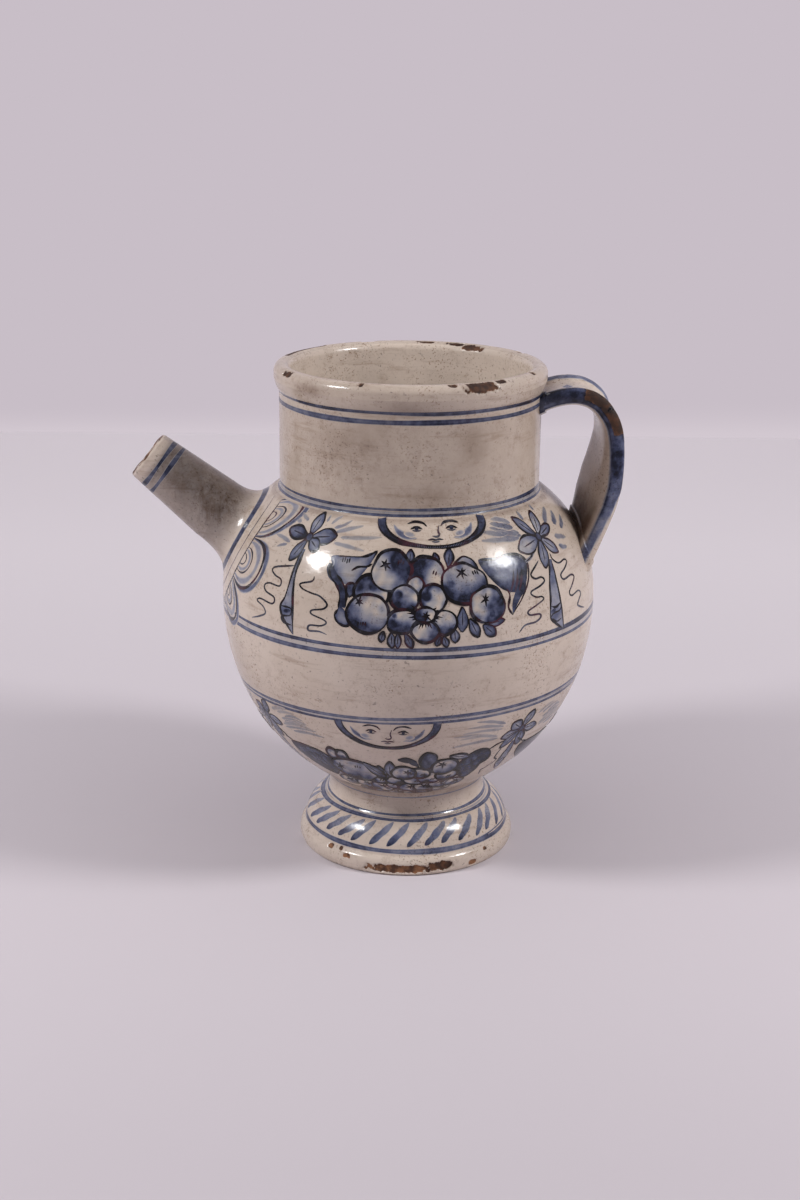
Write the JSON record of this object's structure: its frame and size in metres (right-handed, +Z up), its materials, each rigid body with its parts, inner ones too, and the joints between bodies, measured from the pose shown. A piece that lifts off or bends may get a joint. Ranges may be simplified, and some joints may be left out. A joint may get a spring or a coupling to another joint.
{
  "type": "spouted syrup jar",
  "caption": "Footed round earthenware jar with a wide upright neck, a slanting pouring spout and a strap handle, glazed and painted in blue.",
  "frame": {"origin": "centre of the foot's standing ring, on the table", "axes": "+Z up along the jar's turning axis, -X towards the spout, +X towards the handle, the pictured side faces -Y"},
  "size_m": [0.2034, 0.1576, 0.21],
  "materials": {
    "tin_glaze": "glossy tin glaze"
  },
  "bodies": {
    "root": {"foot": "tin_glaze", "foot_luting": "tin_glaze", "belly": "tin_glaze", "neck": "tin_glaze", "neck_luting": "tin_glaze", "spout": "tin_glaze", "spout_luting": "tin_glaze", "handle": "tin_glaze", "handle_root_luting": "tin_glaze", "handle_tail_luting": "tin_glaze"}
  },
  "joints": []
}
